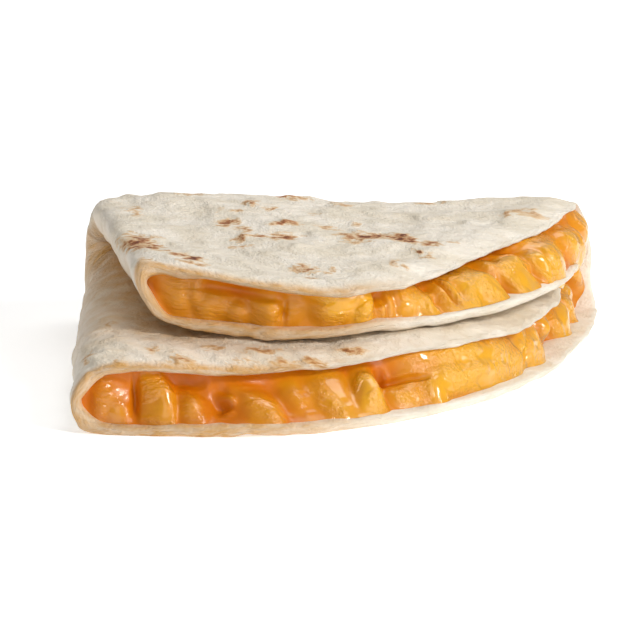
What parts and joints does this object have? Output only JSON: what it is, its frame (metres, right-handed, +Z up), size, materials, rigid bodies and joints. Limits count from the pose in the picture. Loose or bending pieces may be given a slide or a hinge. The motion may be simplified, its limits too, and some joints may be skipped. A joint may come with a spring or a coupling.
{
  "type": "quesadilla",
  "caption": "Cheese quesadilla: a flour tortilla folded in half over melted cheese and folded again into a flat wedge, its curved side open and oozing.",
  "frame": {"origin": "on the surface it rests on, under the middle of the whole quesadilla's box", "axes": "+Z up from the resting face, +X along the second fold from the closed corner to the open end, +Y towards the second fold at the back, so the open curved side faces -Y"},
  "size_m": [0.102, 0.1075, 0.0266],
  "materials": {
    "tortilla": "soft griddled flour tortilla, matte and floury, with brown toast marks and a translucent buttery rim",
    "cheese": "melted orange cheddar, wet and glossy, lumpy where it has half kept the shape of its shreds"
  },
  "bodies": {
    "root": {"tortilla": "tortilla", "cheese": "cheese"}
  },
  "joints": []
}
